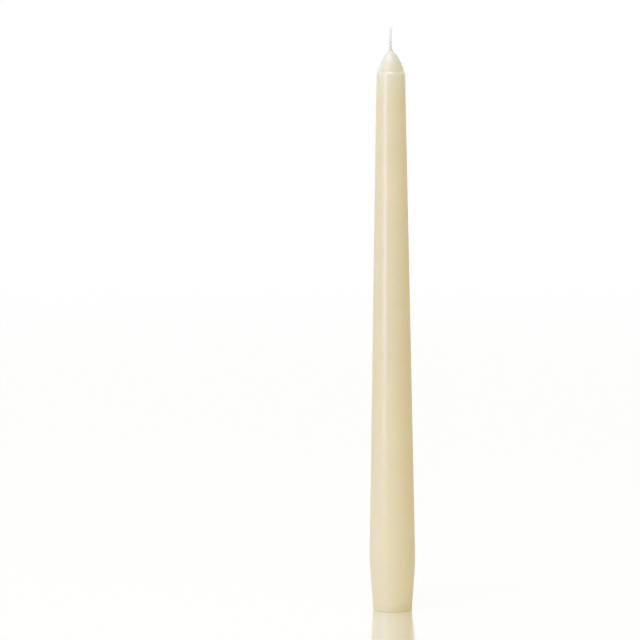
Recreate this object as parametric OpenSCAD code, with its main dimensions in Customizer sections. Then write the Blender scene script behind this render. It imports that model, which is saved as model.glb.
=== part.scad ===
// Taper candle: a tall wax body on a wedge-shaped foot, with a plaited wick through its middle.
// Millimetres. The origin is the middle of the base, and +Z runs up the candle's axis.

/* [Wax body] */
// Height of the wax, from the base to where the tip meets the wick
wax_h = 293; // [150:0.5:450]
// Diameter at the top of the foot, the widest point, before its corner is softened
widest_d = 24.1; // [21.5:0.1:36]
// Diameter of the body at the shoulder, under the tip
shoulder_d = 14.8; // [13.8:0.1:20]

/* [Foot] */
// Diameter of the foot at the base
base_d = 20.3; // [14:0.1:23]
// Height of the foot, from the base to the widest point
foot_h = 26; // [16:0.5:60]
// Radius that softens the bottom edge
base_edge_r = 0.3; // [0.2:0.1:3]
// Radius of the wide curve that softens the corner at the top of the foot
foot_blend_r = 120; // [20:5:200]

/* [Tip] */
// Height of the pointed tip, from the ledge to where it meets the wick
tip_h = 10.6; // [6:0.1:14]
// Diameter of the tip where it rises from the ledge
tip_base_d = 13.2; // [8:0.1:14.2]
// Radius of the curve that runs up the side of the tip
tip_curve_r = 20.5; // [13:0.5:60]
// Radius that rounds the shoulder under the tip
shoulder_r = 1.9; // [0.4:0.1:2.5]

/* [Wick] */
// Width of the plaited wick, and diameter of the part that the wax holds
wick_w = 1.55; // [1:0.05:3]
// Thickness of the plait, across its flat way
wick_t = 1.1; // [0.8:0.05:1.5]
// Length of wick above the wax
wick_free_h = 12; // [5:0.5:30]
// Diameter of one strand of the plait
strand_d = 0.6; // [0.4:0.02:0.7]
// Length in which a strand crosses the plait and comes back
plait_pitch = 5.8; // [3:0.1:12]
// Sideways wave of the free wick
wick_wave = 0.2; // [0:0.01:2]
// Lean of the free wick's end towards the back
wick_lean = 0.3; // [0:0.05:2]
// Depth of the wick's cut end inside the base
wick_recess = 0.3; // [0:0.1:3]
// Clearance between the wick and its channel
wick_gap = 0.02; // [0.01:0.01:0.1]
// Radius of the wax that creeps up the wick
meniscus_r = 1.2; // [0.3:0.1:3]
// Thickness of that wax at its top
wax_skin = 0.15; // [0.05:0.05:0.5]

/* [Hidden] */
$fa = 1;
$fs = 0.25;
ROUND_FN = 128;
CORE_FN = 32;
STRAND_FN = 12;
STRANDS = 3;
STEPS_PER_PITCH = 10;
// How far round its wave the free wick goes, in degrees
WAVE_TURN = 216;
// How far one region of the outline runs into the next
LAP = 1;

// Corners of the outline, as [radius, height]
ledge_z = wax_h - tip_h;
axis_low = [0, 0];
foot_edge = [base_d / 2, 0];
widest = [widest_d / 2, foot_h];
shoulder = [shoulder_d / 2, ledge_z];
axis_ledge = [0, ledge_z];

// The wick's channel, and the collar of wax that ends around it
bore_r = wick_w / 2 + wick_gap;
collar_r = bore_r + wax_skin;

// The tip's side is an arc from the ledge to the collar
tip_foot = [tip_base_d / 2, ledge_z];
tip_top = [collar_r, wax_h];
tip_c = arc_centre(tip_foot, tip_top, tip_curve_r);

// The meniscus is an arc that is tangent to the tip's side and to the collar
meniscus_c = let (
    reach = tip_curve_r + meniscus_r,
    across = collar_r + meniscus_r - tip_c.x
) [collar_r + meniscus_r, tip_c.y + sqrt(reach * reach - across * across)];
meniscus_foot = tip_c + tip_curve_r * unit(meniscus_c - tip_c);
collar_top = meniscus_c.y;

// How far the middle of a strand swings to each side. Three strands, a third of a turn apart, span sqrt(3)
// times as far.
swing_x = (wick_w - strand_d) / sqrt(3);
swing_y = (wick_t - strand_d) / sqrt(3);

// The strands start on a short round root above the collar
plait_low = collar_top + strand_d / 2;
plait_high = wax_h + wick_free_h - strand_d / 2;
plait_steps = ceil((plait_high - plait_low) / plait_pitch * STEPS_PER_PITCH);

function unit(v) = v / norm(v);

// Half the angle at corner p, between its neighbours a and b
function half_angle(a, p, b) = acos(unit(a - p) * unit(b - p)) / 2;

// Where a rounding of radius r leaves the side from corner p to a
function round_start(a, p, b, r) = p + r / tan(half_angle(a, p, b)) * unit(a - p);

// Centre of a rounding of radius r at corner p
function round_centre(a, p, b, r) =
    p + r / sin(half_angle(a, p, b)) * unit(unit(a - p) + unit(b - p));

// Centre of the arc of radius r from p up to q that bulges away from the axis
function arc_centre(p, q, r) =
    let (half = norm(q - p) / 2, along = unit(q - p))
    (p + q) / 2 - sqrt(r * r - half * half) * [along.y, -along.x];

// How far up the plait a height lies, from 0 at its root to 1 at its end
function free_part(z) = (z - plait_low) / (plait_high - plait_low);

// Middle of one strand at a height
function strand_at(i, z) =
    let (turn = 360 * ((z - plait_low) / plait_pitch + i / STRANDS), s = free_part(z)) [
        swing_x * sin(turn) - wick_wave * sin(WAVE_TURN * s),
        swing_y * sin(2 * turn) + wick_lean * s * s,
        z
    ];

// Straight sides from the base to the ledge, cut across where the corners are rounded
module body_sides() {
    polygon([
        axis_low,
        round_start(axis_low, foot_edge, widest, base_edge_r),
        round_start(widest, foot_edge, axis_low, base_edge_r),
        round_start(foot_edge, widest, shoulder, foot_blend_r),
        round_start(shoulder, widest, foot_edge, foot_blend_r),
        round_start(widest, shoulder, axis_ledge, shoulder_r),
        round_start(axis_ledge, shoulder, widest, shoulder_r),
        axis_ledge
    ]);
}

// The wide curve at the top of the foot
module foot_blend() {
    low = round_start(foot_edge, widest, shoulder, foot_blend_r);
    high = round_start(shoulder, widest, foot_edge, foot_blend_r);
    intersection() {
        translate([0, low.y]) square([widest_d, high.y - low.y]);
        translate(round_centre(foot_edge, widest, shoulder, foot_blend_r)) circle(r = foot_blend_r);
    }
}

// The pointed tip, under its curved side
module tip_side() {
    intersection() {
        translate([0, ledge_z - LAP]) square([tip_base_d, tip_h + LAP]);
        translate(tip_c) circle(r = tip_curve_r);
    }
}

// Wax that creeps up the wick
module meniscus() {
    difference() {
        polygon([
            [0, meniscus_foot.y - LAP],
            [collar_r, meniscus_foot.y - LAP],
            meniscus_foot,
            meniscus_c,
            [0, collar_top]
        ]);
        translate(meniscus_c) circle(r = meniscus_r);
    }
}

module wax_outline() {
    difference() {
        union() {
            body_sides();
            translate(round_centre(axis_low, foot_edge, widest, base_edge_r)) circle(r = base_edge_r);
            foot_blend();
            translate(round_centre(widest, shoulder, axis_ledge, shoulder_r)) circle(r = shoulder_r);
            tip_side();
            meniscus();
        }
        translate([-LAP, -LAP]) square([bore_r + LAP, collar_top + 2 * LAP]);
    }
}

module wax_body() {
    color("cornsilk") rotate_extrude($fn = ROUND_FN) wax_outline();
}

// One strand of the plait, a chain of short rounded lengths
module strand(i) {
    rise = (plait_high - plait_low) / plait_steps;
    for (step = [0 : plait_steps - 1]) {
        hull() {
            for (end = [0, 1]) {
                z = plait_low + (step + end) * rise;
                translate(strand_at(i, z)) sphere(d = strand_d, $fn = STRAND_FN);
            }
        }
    }
}

// The wick is round where the wax holds it, and a flat plait of strands above
module wick() {
    color("whitesmoke") {
        translate([0, 0, wick_recess]) cylinder(d = wick_w, h = plait_low - wick_recess, $fn = CORE_FN);
        for (i = [0 : STRANDS - 1]) strand(i);
    }
}

wax_body();
wick();
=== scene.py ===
"""A taper candle in ivory wax with a plaited cotton wick, on a glossy white table. Lengths in metres."""

import math
import random

import bpy
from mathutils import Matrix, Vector, noise


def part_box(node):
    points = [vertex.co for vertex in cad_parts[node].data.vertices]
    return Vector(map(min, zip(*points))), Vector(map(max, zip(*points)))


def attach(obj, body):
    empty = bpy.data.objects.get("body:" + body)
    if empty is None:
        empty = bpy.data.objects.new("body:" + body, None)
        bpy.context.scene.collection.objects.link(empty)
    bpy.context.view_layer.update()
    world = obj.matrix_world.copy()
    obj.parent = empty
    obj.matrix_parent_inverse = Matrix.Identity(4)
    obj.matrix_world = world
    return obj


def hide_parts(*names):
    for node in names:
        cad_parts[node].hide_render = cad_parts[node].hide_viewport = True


MM = 0.001
TAU = 2 * math.pi

# The camera, from the perspective of the photograph
PHOTO_SIZE = 640
FOCAL_PIXELS = 2768.5
SENSOR_WIDTH = 36
CAMERA_DISTANCE = 1.440
CAMERA_HEIGHT = 0.281
CAMERA_PITCH = math.radians(5.08)
CAMERA_YAW = math.radians(1.459)
CAMERA_ROLL = math.radians(0.32)
CAMERA_REACH = 50

WHITE = (1, 1, 1, 1)
# The values between which most of a noise lies
NOISE_LOW, NOISE_HIGH = 0.3, 0.7

# The light from all around, as a share of white, and its colour on the right
AROUND = 0.73
WARM_SIDE = (0.97, 0.83, 0.39, 1)
WARM_FROM, WARM_FULL = 0.0, 0.5
# The background is white where it is seen, and this grey high up, where only gloss shows it
ABOVE = (0.35, 0.35, 0.35, 1)
ABOVE_FROM, ABOVE_FULL = 0.35, 0.8
# The background shows on rays up to this depth: the camera's own, and those that come off one gloss
SEEN_DEPTH = 2
# The radiance of the softboxes, where 1 is white. The key is the cool, tall one that streaks the wax.
KEY_RADIANCE = 1.32
KEY_COLOUR = (0.80, 1, 1.45)
OVERHEAD_RADIANCE = 2.75

# The table is matt white under a gloss, which mirrors little from above and much more at a low angle
TABLE_HALF = 30
TABLE_WHITE = (0.95, 0.95, 0.95, 1)
TABLE_ROUGHNESS = 0.14
MIRROR_ABOVE, MIRROR_LOW = 0.1, 0.8
LOW_FROM, LOW_FULL = 0.3, 0.8
# The share of plain white that the camera sees in it near the candle, and the distances from the candle
# between which it turns all white
PLAIN_NEAR = 0.5
FAR_FROM, FAR_FULL = 0.3, 2.5

# The colours of the wax: deeper and lighter patches on the body; a paler lower part, which is painted
# light;
# the foot's last few millimetres, darker with painted shade; its thin bottom edge, lightened with painted
# light against the shade where it meets the table; the tip, paler with painted light; and painted shade,
# greyer, round the wick's root
WAX_DEEP = (0.727, 0.643, 0.438, 1)
WAX_LIGHT = (0.757, 0.673, 0.474, 1)
WAX_PAINTED_LOW_LIGHT = (0.768, 0.688, 0.504, 1)
WAX_PAINTED_FOOT_SHADE = (0.745, 0.635, 0.41, 1)
WAX_PAINTED_EDGE_LIGHT = (0.97, 0.74, 0.46, 1)
WAX_PAINTED_TIP_LIGHT = (0.735, 0.73, 0.70, 1)
WAX_PAINTED_ROOT_SHADE = (0.60, 0.60, 0.56, 1)
LOW_WAX_FROM, LOW_WAX_FULL = 130 * MM, 25 * MM
FOOT_FADE = 5 * MM
EDGE_FADE = 0.8 * MM
TIP_FADE = 24 * MM
ROOT_SHADE_FADE = 1.5 * MM
# The gloss grows from this share at the base to its full strength at this height
BASE_GLOSS = 0.6
GLOSS_FULL = 200 * MM
# The tip is duller than the body. Its gloss falls to this share between these depths under the wax's top.
TIP_GLOSS = 0.3
DULL_FROM, DULL_FULL = 13 * MM, 10.5 * MM
# The gloss also falls to this share towards the outline, where the wax faces away
OUTLINE_GLOSS = 0.25
AWAY_FROM, AWAY_FULL = 0.2, 0.8
WAX_IOR = 1.5
COAT_IOR = 1.8
COAT_ROUGHNESS = 0.22
# How far light goes into the wax, and the share of that for red, green and blue
LIGHT_DEPTH = 3 * MM
LIGHT_REACH = (1.0, 0.6, 0.25)
# The patches, the grain and the streaks of the wax, in waves to the metre. The streaks run up the candle.
PATCH_SCALE = 55
GRAIN_SCALE = 900
STREAK_SCALE = 420
STREAK_SQUEEZE = (1, 1, 0.12)
ROUGHNESS_LOW, ROUGHNESS_HIGH = 0.38, 0.46
WAX_BUMP = 0.02 * MM
WAX_BUMP_STRENGTH = 0.25

# The wax mesh: points round each ring, and the longest step between rings on the body and on the tip
WAX_AROUND = 144
BODY_STEP = 0.75 * MM
TIP_STEP = 0.25 * MM
# The fine rings of the tip start this far under its ledge, and the flat base has this many rings
TIP_STEP_BELOW = 2 * MM
BASE_RINGS = 12
# The wick shows in a shallow pit under the base, and its end stands this far clear of the closed wax mesh
PIT_CLEARANCE = 0.02 * MM
# How far the wax wanders from its true form, and over what length. It wanders more slowly up the candle
# than round it, and not at all at its two ends.
WANDER = 0.035 * MM
WANDER_LENGTH = 16 * MM
WANDER_UPWARD = 0.6
WANDER_PLACE = Vector((7.3, 1.9, 4.1))
WANDER_END = 3 * MM
# The ledge under the tip isn't quite level: it tilts and has a ripple, a share of the tilt
LEDGE_TILT = 0.10 * MM
LEDGE_REACH = 1.5 * MM
LEDGE_TURN = 0.6
LEDGE_RIPPLE = 0.6
RIPPLE_WAVES = 3

# The plait of the wick, as in the solid
STRANDS = 3
STRAND_D = 0.6 * MM
WICK_W = 1.55 * MM
WICK_T = 1.1 * MM
SWING_X = (WICK_W - STRAND_D) / math.sqrt(STRANDS)
SWING_Y = (WICK_T - STRAND_D) / math.sqrt(STRANDS)
PLAIT_PITCH = 5.8 * MM
WICK_WAVE = 0.2 * MM
WAVE_TURN = math.radians(216)
WICK_LEAN = 0.3 * MM
# Each strand is a twisted bundle of yarns round a middle one
YARNS_ROUND = 6
YARN_R = 0.105 * MM
YARN_TURN_LENGTH = 2.6 * MM
YARN_SIDES = 6
YARN_STEP = 0.11 * MM
# The turn between one strand's yarns and the next strand's, as a share of a full turn
STRAND_PHASE = 0.37
STRAND_FLATNESS = 0.8
# The yarns start this far down in the wax, and the wick's round core ends this far under the plait
ROOT_DEPTH = 0.1 * MM
# The core's radius is this much under the wick's
CORE_CLEARANCE = 0.01 * MM
CORE_SIDES = 32
# The yarns' ends are ragged by up to this much, their thickness varies, and their last two rings narrow
RAGGED = 0.35 * MM
YARN_THIN, YARN_THICK = 0.96, 1.04
NARROW_END, NARROW_BEFORE = 0.5, 0.85
# Loose fibres: how many and how thick they are, their length, their slope at the root, and how they curl
FIBRES = 70
FIBRE_R = 0.006 * MM
FIBRE_SIDES = 4
FIBRE_SHORT, FIBRE_LONG = 0.35 * MM, 0.75 * MM
FIBRE_DOWN, FIBRE_UP = -0.6, 0.9
FIBRE_CURL = 0.6
COTTON_DARK = (0.91, 0.92, 0.95, 1)
COTTON_LIGHT = (0.96, 0.97, 0.99, 1)
COTTON_SOAKED = (0.77, 0.78, 0.82, 1)
COTTON_FADE = 9 * MM
COTTON_ROUGHNESS = 0.85
COTTON_SHEEN = 0.3
FUZZ_SCALE = 6000
FUZZ_DARK, FUZZ_LIGHT = 0.2, 0.8
FUZZ_BUMP = 0.03 * MM
FUZZ_BUMP_STRENGTH = 0.5


def smooth_step(value, low, high):
    t = max(0, min(1, (value - low) / (high - low)))
    return t * t * (3 - 2 * t)


def ring_point(radius, angle, height):
    return Vector((radius * math.cos(angle), radius * math.sin(angle), height))


def new_object(name, verts, faces, material, sharp_deg):
    mesh = bpy.data.meshes.new(name)
    mesh.from_pydata([tuple(v) for v in verts], [], faces)
    mesh.validate()
    mesh.shade_smooth()
    mesh.set_sharp_from_angle(angle=math.radians(sharp_deg))
    mesh.materials.append(material)
    obj = bpy.data.objects.new(name, mesh)
    bpy.context.scene.collection.objects.link(obj)
    return obj


class Nodes:
    """The nodes of a material or the world, with short ways to add and join them."""

    def __init__(self, owner):
        owner.use_nodes = True
        self.tree = owner.node_tree
        self.tree.nodes.clear()

    def add(self, kind, values=None, **settings):
        """A new node. The values go on its sockets by name, and the settings on the node itself."""
        node = self.tree.nodes.new(kind)
        for key, value in settings.items():
            setattr(node, key, value)
        for key, value in (values or {}).items():
            node.inputs[key].default_value = value
        return node

    def join(self, source, target):
        self.tree.links.new(source, target)

    def ramp(self, factor, low, low_colour, high, high_colour):
        """A colour that goes from one to the other as the factor goes from low to high."""
        node = self.add("ShaderNodeValToRGB")
        first, last = node.color_ramp.elements
        first.position, first.color = low, low_colour
        last.position, last.color = high, high_colour
        self.join(factor, node.inputs["Fac"])
        return node.outputs["Color"]

    def span(self, value, from_min, from_max, to_min=0.0, to_max=1.0):
        """The value mapped from one range to another, and held at its ends."""
        limits = {"From Min": from_min, "From Max": from_max, "To Min": to_min, "To Max": to_max}
        node = self.add("ShaderNodeMapRange", limits)
        self.join(value, node.inputs["Value"])
        return node.outputs["Result"]

    def blend(self, factor, colour, other):
        """The colour, turned into the other one as the factor goes to 1."""
        node = self.add("ShaderNodeMixRGB", {"Color2": other})
        self.join(factor, node.inputs["Fac"])
        self.join(colour, node.inputs["Color1"])
        return node.outputs["Color"]

    def math(self, operation, a, b):
        """An operation on two sockets, or on a socket and a number."""
        node = self.add("ShaderNodeMath", operation=operation)
        for value, socket in zip((a, b), node.inputs):
            if isinstance(value, (int, float)):
                socket.default_value = value
            else:
                self.join(value, socket)
        return node.outputs[0]

    def mix(self, factor, shader, other):
        """The shader, turned into the other one as the factor goes to 1."""
        node = self.add("ShaderNodeMixShader")
        for source, socket in zip((factor, shader, other), node.inputs):
            self.join(source, socket)
        return node.outputs[0]

    def noise(self, place, scale, detail=3.0, roughness=0.5):
        node = self.add("ShaderNodeTexNoise", {"Scale": scale, "Detail": detail, "Roughness": roughness})
        self.join(place, node.inputs["Vector"])
        return node.outputs["Fac"]

    def height_of(self, place):
        node = self.add("ShaderNodeSeparateXYZ")
        self.join(place, node.inputs[0])
        return node.outputs["Z"]


def wax_material():
    """Ivory wax: light goes a little way in, and its soft gloss dulls towards outline, base and tip."""
    material = bpy.data.materials.new("ivory_wax")
    n = Nodes(material)
    place = n.add("ShaderNodeTexCoord").outputs["Object"]
    stretch = n.add("ShaderNodeMapping", {"Scale": STREAK_SQUEEZE})
    n.join(place, stretch.inputs["Vector"])
    streaks = n.noise(stretch.outputs["Vector"], STREAK_SCALE, roughness=0.6)
    grain = n.noise(place, GRAIN_SCALE, roughness=0.6)
    patches = n.noise(place, PATCH_SCALE, detail=4.0, roughness=0.55)
    height = n.height_of(place)

    colour = n.ramp(patches, NOISE_LOW, WAX_DEEP, NOISE_HIGH, WAX_LIGHT)
    # Painted light: the lower part is blended paler towards the bottom
    colour = n.blend(n.span(height, LOW_WAX_FROM, LOW_WAX_FULL), colour, WAX_PAINTED_LOW_LIGHT)
    # Painted shade: the foot's last few millimetres darker and deeper in tone
    colour = n.blend(n.span(height, FOOT_FADE, 0), colour, WAX_PAINTED_FOOT_SHADE)
    # Painted light: the thin bottom edge lighter, against the shade where it meets the table
    colour = n.blend(n.span(height, EDGE_FADE, 0), colour, WAX_PAINTED_EDGE_LIGHT)
    # Painted light: the tip paler towards its top
    colour = n.blend(n.span(height, wax_top - TIP_FADE, wax_top), colour, WAX_PAINTED_TIP_LIGHT)
    # Painted shade: the wax greyer and darker round the wick's root
    colour = n.blend(n.span(height, wax_top - ROOT_SHADE_FADE, wax_top), colour, WAX_PAINTED_ROOT_SHADE)

    facing = n.add("ShaderNodeLayerWeight", {"Blend": 0.5}).outputs["Facing"]
    gloss = n.span(facing, AWAY_FROM, AWAY_FULL, 1, OUTLINE_GLOSS)
    gloss = n.math("MULTIPLY", gloss, n.span(height, 0, GLOSS_FULL, BASE_GLOSS, 1))
    dull = n.span(height, wax_top - DULL_FROM, wax_top - DULL_FULL, 1, TIP_GLOSS)
    gloss = n.math("MULTIPLY", gloss, dull)
    bump = n.add("ShaderNodeBump", {"Strength": WAX_BUMP_STRENGTH, "Distance": WAX_BUMP})
    n.join(n.math("ADD", grain, streaks), bump.inputs["Height"])

    shader = n.add("ShaderNodeBsdfPrincipled", {
        "Subsurface Weight": 1.0,
        "Subsurface Radius": LIGHT_REACH,
        "Subsurface Scale": LIGHT_DEPTH,
        "IOR": WAX_IOR,
        "Coat IOR": COAT_IOR,
        "Coat Roughness": COAT_ROUGHNESS,
    })
    out = n.add("ShaderNodeOutputMaterial")
    n.join(colour, shader.inputs["Base Color"])
    roughness = n.span(streaks, NOISE_LOW, NOISE_HIGH, ROUGHNESS_LOW, ROUGHNESS_HIGH)
    n.join(roughness, shader.inputs["Roughness"])
    n.join(gloss, shader.inputs["Specular IOR Level"])
    n.join(gloss, shader.inputs["Coat Weight"])
    n.join(bump.outputs["Normal"], shader.inputs["Normal"])
    n.join(shader.outputs["BSDF"], out.inputs["Surface"])
    return material


def cotton_material():
    """Bleached cotton, greyer at the foot where wax has soaked into it."""
    material = bpy.data.materials.new("wick_cotton")
    n = Nodes(material)
    place = n.add("ShaderNodeTexCoord").outputs["Object"]
    fuzz = n.noise(place, FUZZ_SCALE)
    colour = n.ramp(fuzz, FUZZ_DARK, COTTON_DARK, FUZZ_LIGHT, COTTON_LIGHT)
    colour = n.blend(n.span(n.height_of(place), wax_top + COTTON_FADE, wax_top), colour, COTTON_SOAKED)
    bump = n.add("ShaderNodeBump", {"Strength": FUZZ_BUMP_STRENGTH, "Distance": FUZZ_BUMP})
    shader = n.add("ShaderNodeBsdfPrincipled", {
        "Roughness": COTTON_ROUGHNESS,
        "Sheen Weight": COTTON_SHEEN,
    })
    out = n.add("ShaderNodeOutputMaterial")
    n.join(fuzz, bump.inputs["Height"])
    n.join(colour, shader.inputs["Base Color"])
    n.join(bump.outputs["Normal"], shader.inputs["Normal"])
    n.join(shader.outputs["BSDF"], out.inputs["Surface"])
    return material


def background_seen(n):
    """1 where the background shows, to the camera or in a gloss it sees, and 0 where it gives light."""
    rays = n.add("ShaderNodeLightPath").outputs
    shown = n.math("MAXIMUM", rays["Is Camera Ray"], rays["Is Glossy Ray"])
    shown = n.math("MAXIMUM", shown, rays["Is Transmission Ray"])
    return n.math("MULTIPLY", shown, n.math("LESS_THAN", rays["Ray Depth"], SEEN_DEPTH + 0.5))


def table_material():
    """Glossy white acrylic. The camera sees it as plain white in the distance."""
    material = bpy.data.materials.new("white_table")
    material.cycles.emission_sampling = "NONE"
    n = Nodes(material)
    distance = n.add("ShaderNodeVectorMath", operation="LENGTH")
    n.join(n.add("ShaderNodeTexCoord").outputs["Object"], distance.inputs[0])
    facing = n.add("ShaderNodeLayerWeight", {"Blend": 0.5}).outputs["Facing"]
    mirror = n.span(facing, LOW_FROM, LOW_FULL, MIRROR_ABOVE, MIRROR_LOW)
    seen = n.add("ShaderNodeLightPath").outputs["Is Camera Ray"]
    plain_near = n.math("MULTIPLY", seen, PLAIN_NEAR)
    plain_far = n.math("MULTIPLY", seen, n.span(distance.outputs["Value"], FAR_FROM, FAR_FULL))

    matt = n.add("ShaderNodeBsdfDiffuse", {"Color": TABLE_WHITE})
    plain = n.add("ShaderNodeEmission", {"Color": WHITE, "Strength": 1.0})
    skin = n.add("ShaderNodeBsdfGlossy", {"Color": WHITE, "Roughness": TABLE_ROUGHNESS})
    base = n.mix(plain_near, matt.outputs[0], plain.outputs[0])
    near = n.mix(mirror, base, skin.outputs[0])
    out = n.add("ShaderNodeOutputMaterial")
    n.join(n.mix(plain_far, near, plain.outputs[0]), out.inputs["Surface"])
    return material


def make_camera():
    data = bpy.data.cameras.new("camera")
    data.sensor_width = SENSOR_WIDTH
    data.lens = FOCAL_PIXELS / PHOTO_SIZE * SENSOR_WIDTH
    data.clip_end = CAMERA_REACH
    camera = bpy.data.objects.new("camera", data)
    bpy.context.scene.collection.objects.link(camera)
    camera.location = (0, -CAMERA_DISTANCE, CAMERA_HEIGHT)
    camera.rotation_euler = (math.pi / 2 - CAMERA_PITCH, CAMERA_ROLL, CAMERA_YAW)
    bpy.context.scene.camera = camera


def make_world():
    """White where it is seen, and grey high up. The light it gives is less, and warm from the right."""
    world = bpy.data.worlds.new("studio")
    world.cycles.sampling_method = "NONE"
    n = Nodes(world)
    way = n.add("ShaderNodeSeparateXYZ")
    n.join(n.add("ShaderNodeTexCoord").outputs["Generated"], way.inputs[0])
    light = n.add("ShaderNodeBackground", {"Strength": AROUND})
    shown = n.add("ShaderNodeBackground", {"Strength": 1.0})
    out = n.add("ShaderNodeOutputWorld")
    n.join(n.ramp(way.outputs["X"], WARM_FROM, WHITE, WARM_FULL, WARM_SIDE), light.inputs["Color"])
    n.join(n.ramp(way.outputs["Z"], ABOVE_FROM, WHITE, ABOVE_FULL, ABOVE), shown.inputs["Color"])
    n.join(n.mix(background_seen(n), light.outputs[0], shown.outputs[0]), out.inputs["Surface"])
    bpy.context.scene.world = world


def make_softbox(name, azimuth_deg, distance, height, aim_height, width, tall, radiance, colour):
    """A softbox that the camera doesn't see. Azimuth 0 is at the camera, and more is to its left."""
    data = bpy.data.lights.new(name, "AREA")
    data.shape = "RECTANGLE"
    data.size, data.size_y = width, tall
    data.energy = radiance * math.pi * width * tall
    data.color = colour
    lamp = bpy.data.objects.new(name, data)
    bpy.context.scene.collection.objects.link(lamp)
    azimuth = math.radians(azimuth_deg)
    lamp.location = (-distance * math.sin(azimuth), -distance * math.cos(azimuth), height)
    lamp.rotation_mode = "QUATERNION"
    lamp.rotation_quaternion = (Vector((0, 0, aim_height)) - lamp.location).to_track_quat("-Z", "Y")
    lamp.visible_camera = False


def make_table():
    half = TABLE_HALF
    corners = [(-half, -half, 0), (half, -half, 0), (half, half, 0), (-half, half, 0)]
    new_object("table", corners, [(0, 1, 2, 3)], table_material(), 30)


def outline_of(node):
    """The outer outline of a round CAD node, as (radius, height) from the base up."""
    widest = {}
    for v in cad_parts[node].data.vertices:
        height = round(v.co.z, 6)
        widest[height] = max(widest.get(height, 0), math.hypot(v.co.x, v.co.y))
    return [(widest[height], height) for height in sorted(widest)]


def bore_of(node):
    """The radius of the channel through a round CAD node."""
    return min(math.hypot(v.co.x, v.co.y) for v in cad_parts[node].data.vertices)


def finer(outline, tip_from):
    """The outline with points added, so that no step is long."""
    points = [outline[0]]
    for (r0, z0), (r1, z1) in zip(outline, outline[1:]):
        step = TIP_STEP if z0 >= tip_from else BODY_STEP
        count = max(1, math.ceil(math.hypot(r1 - r0, z1 - z0) / step))
        shares = [i / count for i in range(1, count + 1)]
        points += [(r0 + (r1 - r0) * share, z0 + (z1 - z0) * share) for share in shares]
    return points


def ledge_height(outline):
    """Height of the crease over the shoulder: where the outline's upper half turns up most sharply."""
    sharpest, height = 0, 0
    for (r0, z0), (r1, z1), (r2, z2) in zip(outline, outline[1:], outline[2:]):
        turn = math.atan2(r2 - r1, z2 - z1) - math.atan2(r1 - r0, z1 - z0)
        if z1 > outline[-1][1] / 2 and turn > sharpest:
            sharpest, height = turn, z1
    return height


def wax_point(radius, height, angle, ledge):
    """A point of the wax: its true place, moved a little as in a candle pulled and trimmed by hand."""
    free = smooth_step(height, 0, WANDER_END) * smooth_step(wax_top - height, 0, WANDER_END)
    at = ring_point(radius, angle, height * WANDER_UPWARD) / WANDER_LENGTH
    out = radius + WANDER * free * noise.noise(at + WANDER_PLACE)
    near = math.exp(-((height - ledge) / LEDGE_REACH) ** 2)
    wave = math.sin(angle + LEDGE_TURN) + LEDGE_RIPPLE * noise.noise(at * RIPPLE_WAVES)
    return ring_point(out, angle, height + LEDGE_TILT * near * wave)


def make_wax():
    outline = outline_of("wax_body")
    ledge = ledge_height(outline)
    bore, base = bore_of("wax_body"), outline[0][0]
    under = [(bore, wick_low.z + PIT_CLEARANCE)]
    under += [(bore + (base - bore) * i / BASE_RINGS, 0) for i in range(BASE_RINGS)]
    rings = under + finer(outline, ledge - TIP_STEP_BELOW)
    verts, faces = [], [tuple(reversed(range(WAX_AROUND)))]
    for radius, height in rings:
        verts += [wax_point(radius, height, TAU * i / WAX_AROUND, ledge) for i in range(WAX_AROUND)]
    for row in range(len(rings) - 1):
        low, up = row * WAX_AROUND, (row + 1) * WAX_AROUND
        for i in range(WAX_AROUND):
            j = (i + 1) % WAX_AROUND
            faces.append((low + i, low + j, up + j, up + i))
    faces.append(tuple(range(len(verts) - WAX_AROUND, len(verts))))
    wax = new_object("wax", verts, faces, wax_material(), sharp_deg=42)
    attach(wax, "root")
    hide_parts("wax_body")


def add_tube(verts, faces, path, radii, sides):
    """Adds a tube along a path, its rings kept from twisting and its ends flat."""
    start = len(verts)
    across = Vector((1, 0, 0))
    for k, point in enumerate(path):
        along = (path[min(k + 1, len(path) - 1)] - path[max(k - 1, 0)]).normalized()
        across = (across - along * across.dot(along)).normalized()
        other = along.cross(across)
        for s in range(sides):
            angle = TAU * s / sides
            verts.append(point + radii[k] * (math.cos(angle) * across + math.sin(angle) * other))
    for k in range(len(path) - 1):
        low, up = start + k * sides, start + (k + 1) * sides
        for s in range(sides):
            t = (s + 1) % sides
            faces.append((low + s, low + t, up + t, up + s))
    faces.append(tuple(start + s for s in reversed(range(sides))))
    faces.append(tuple(len(verts) - sides + s for s in range(sides)))


def strand_middle(strand, z):
    """The middle of a strand at a height, as in the solid."""
    share = (z - plait_low) / (plait_high - plait_low)
    turn = TAU * ((z - plait_low) / PLAIT_PITCH + strand / STRANDS)
    x = SWING_X * math.sin(turn) - WICK_WAVE * math.sin(WAVE_TURN * share)
    y = SWING_Y * math.sin(2 * turn) + WICK_LEAN * share ** 2
    return Vector((x, y, z))


def yarn_path(strand, yarn, end):
    """The path of a yarn in a strand. Yarn 0 is the middle one, and the others wind round it."""
    count = math.ceil((end - plait_root) / YARN_STEP)
    ring = STRAND_D / 2 - YARN_R if yarn else 0
    points = []
    for k in range(count + 1):
        z = plait_root + (end - plait_root) * k / count
        turns = (z - plait_low) / YARN_TURN_LENGTH + yarn / YARNS_ROUND + strand * STRAND_PHASE
        angle = TAU * turns
        wind = Vector((math.cos(angle), STRAND_FLATNESS * math.sin(angle), 0))
        points.append(strand_middle(strand, z) + ring * wind)
    return points


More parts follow.
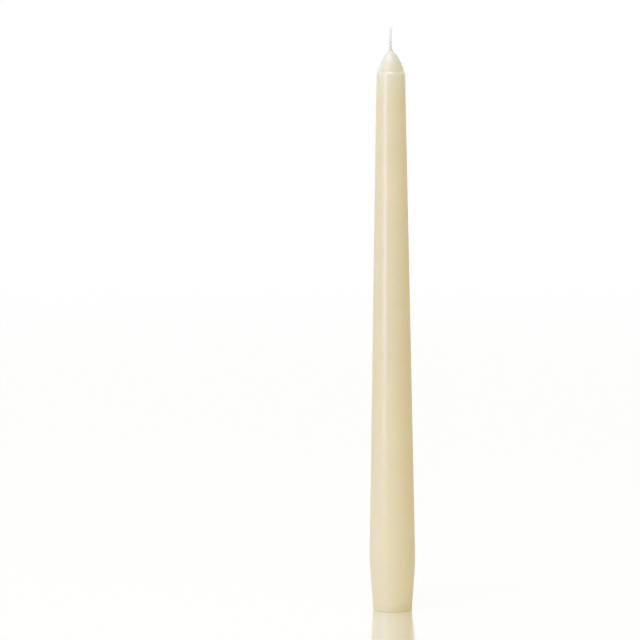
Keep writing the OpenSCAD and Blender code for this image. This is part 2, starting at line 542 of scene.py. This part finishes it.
def add_fibre(verts, faces, rng):
    """Adds a loose cotton fibre that springs from the plait and curls."""
    start = strand_middle(rng.randrange(STRANDS), rng.uniform(plait_low, plait_high))
    angle = rng.uniform(0, TAU)
    out = Vector((math.cos(angle), math.sin(angle), rng.uniform(FIBRE_DOWN, FIBRE_UP)))
    curl = Vector((rng.uniform(-1, 1), rng.uniform(-1, 1), rng.uniform(-1, 1)))
    length = rng.uniform(FIBRE_SHORT, FIBRE_LONG)
    path = [start + length * (t * out + FIBRE_CURL * t * t * curl) for t in (0, 0.25, 0.5, 0.75, 1)]
    add_tube(verts, faces, path, [FIBRE_R] * len(path), FIBRE_SIDES)


def make_wick():
    rng = random.Random(5)
    verts, faces = [], []
    core = [Vector((0, 0, wick_low.z)), Vector((0, 0, plait_low - ROOT_DEPTH))]
    add_tube(verts, faces, core, [WICK_W / 2 - CORE_CLEARANCE] * 2, CORE_SIDES)
    for strand in range(STRANDS):
        for yarn in range(YARNS_ROUND + 1):
            end = plait_high + STRAND_D / 2 - rng.uniform(0, RAGGED)
            path = yarn_path(strand, yarn, end)
            radii = [YARN_R * rng.uniform(YARN_THIN, YARN_THICK)] * len(path)
            radii[-1] *= NARROW_END
            radii[-2] *= NARROW_BEFORE
            add_tube(verts, faces, path, radii, YARN_SIDES)
    for _ in range(FIBRES):
        add_fibre(verts, faces, rng)
    wick = new_object("plaited_wick", verts, faces, cotton_material(), sharp_deg=60)
    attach(wick, "root")
    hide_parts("wick")


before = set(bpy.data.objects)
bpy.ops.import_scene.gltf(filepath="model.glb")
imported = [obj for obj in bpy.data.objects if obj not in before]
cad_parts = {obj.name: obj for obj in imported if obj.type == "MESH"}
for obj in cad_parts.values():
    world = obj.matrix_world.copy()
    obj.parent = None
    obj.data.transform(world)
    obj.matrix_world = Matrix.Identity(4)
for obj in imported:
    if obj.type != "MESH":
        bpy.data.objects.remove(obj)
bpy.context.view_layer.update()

wax_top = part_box("wax_body")[1].z
wick_low, wick_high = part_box("wick")
plait_low = wax_top + STRAND_D / 2
plait_high = wick_high.z - STRAND_D / 2
plait_root = wax_top - ROOT_DEPTH

make_camera()
make_world()
make_table()
make_softbox(
    "key", azimuth_deg=43, distance=1.0, height=1.01, aim_height=1.01,
    width=0.32, tall=1.98, radiance=KEY_RADIANCE, colour=KEY_COLOUR,
)
make_softbox(
    "overhead", azimuth_deg=25, distance=0.9, height=2.0, aim_height=0.15,
    width=1.6, tall=1.2, radiance=OVERHEAD_RADIANCE, colour=(1, 1, 1),
)
make_wax()
make_wick()

bpy.context.scene.view_settings.view_transform = "Standard"
